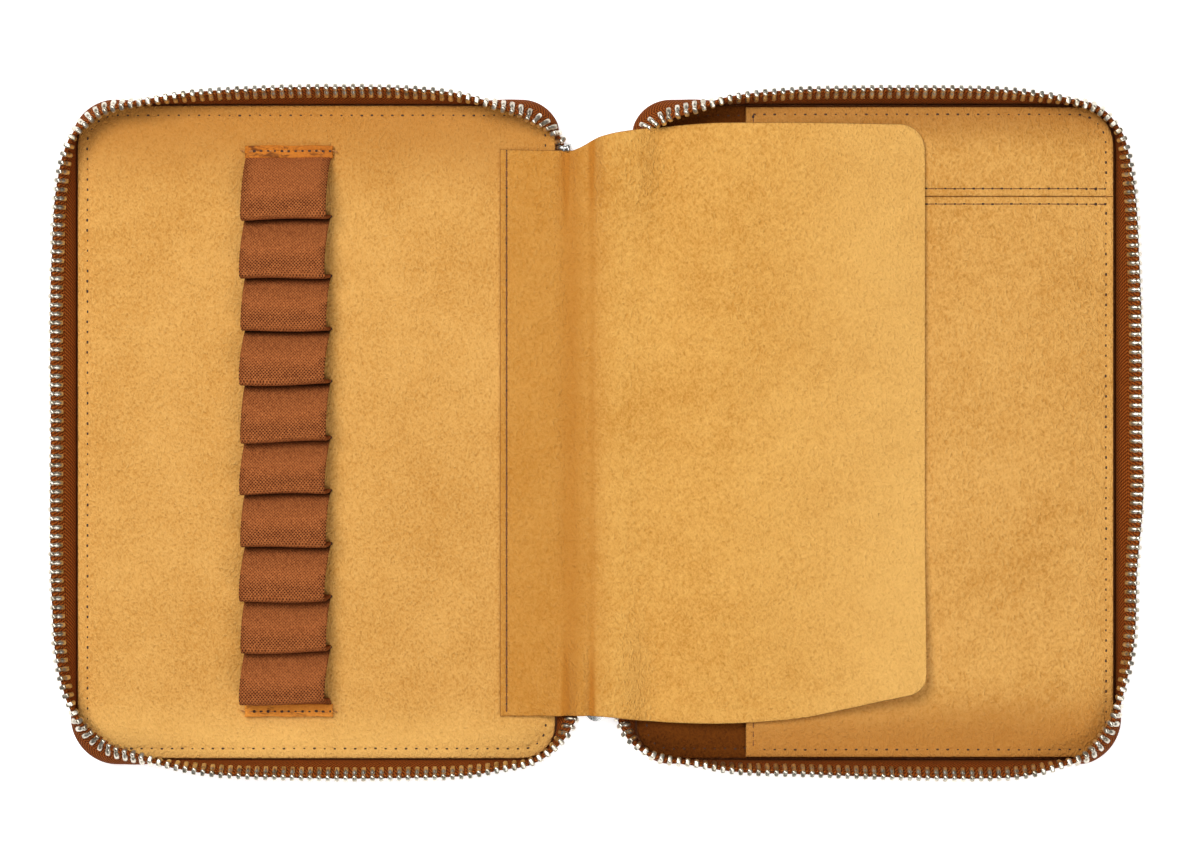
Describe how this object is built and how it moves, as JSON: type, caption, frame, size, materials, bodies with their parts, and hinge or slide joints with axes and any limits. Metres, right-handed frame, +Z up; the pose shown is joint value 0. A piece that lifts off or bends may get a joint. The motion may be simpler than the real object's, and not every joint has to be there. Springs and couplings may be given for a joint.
{
  "type": "fountain pen case",
  "caption": "Zip-round pen case lying open: suede lining, elastic pen loops on one side, a slip pocket on the other and a divider flap sewn in beside the spine.",
  "frame": {"origin": "on the surface that the open case lies on, under the middle of its outline", "axes": "+X across both halves, from the pen side to the pocket side; +Y along the spine; +Z up, out of the lining"},
  "size_m": [0.3288, 0.2082, 0.0148],
  "materials": {
    "suede": "napped suede",
    "leather": "smooth pull-up leather",
    "tab_leather": "smooth pull-up leather",
    "board": "grey millboard",
    "elastic": "ribbed woven elastic",
    "tape_cloth": "herringbone zip tape",
    "brass": "antique brass",
    "nickel": "nickel plate"
  },
  "bodies": {
    "pen_side": {"cover_left": "leather", "board_left": "board", "lining_left": "suede", "tape_left": "tape_cloth", "teeth_left": "brass", "top_stop_left": "nickel", "loop_tab_top": "tab_leather", "loop_tab_bottom": "tab_leather", "divider_flap_hem": "suede", "pen_loop_01": "elastic", "pen_loop_02": "elastic", "pen_loop_03": "elastic", "pen_loop_04": "elastic", "pen_loop_05": "elastic", "pen_loop_06": "elastic", "pen_loop_07": "elastic", "pen_loop_08": "elastic", "pen_loop_09": "elastic", "pen_loop_10": "elastic"},
    "spine": {"spine_cover": "leather", "spine_lining": "suede", "bottom_stop": "nickel"},
    "pocket_side": {"cover_right": "leather", "board_right": "board", "lining_right": "suede", "tape_right": "tape_cloth", "teeth_right": "brass", "top_stop_right": "nickel", "pocket_main": "suede", "pocket_top_strip": "suede", "pocket_seam_strip": "suede"},
    "flap": {"divider_flap": "suede"},
    "slider": {"slider_body": "nickel", "slider_bridge": "nickel"},
    "pull": {"pull_tab": "nickel"}
  },
  "joints": [
    {"name": "fold_left", "type": "hinge", "parent": "pen_side", "child": "spine", "pos_m": [-0.012, 0, 0.0025], "axis": [0, -1, 0], "range_deg": [0, 90]},
    {"name": "fold_right", "type": "hinge", "parent": "spine", "child": "pocket_side", "pos_m": [0.012, 0, 0.0025], "axis": [0, -1, 0], "range_deg": [0, 90]},
    {"name": "flap_turn", "type": "hinge", "parent": "pen_side", "child": "flap", "pos_m": [-0.0245, 0, 0.012], "axis": [0, -1, 0], "range_deg": [0, 180]},
    {"name": "slider_travel", "type": "slide", "parent": "spine", "child": "slider", "axis": [0, -1, 0], "range_m": [0, 0.004]},
    {"name": "pull_turn", "type": "hinge", "parent": "slider", "child": "pull", "pos_m": [0, -0.0755, 0.00368], "axis": [1, 0, 0], "range_deg": [0, 5]}
  ],
  "couplings": [
    {"joint": "fold_right", "follows": "fold_left", "ratio": 1},
    {"joint": "flap_turn", "follows": "fold_left", "ratio": 2}
  ]
}
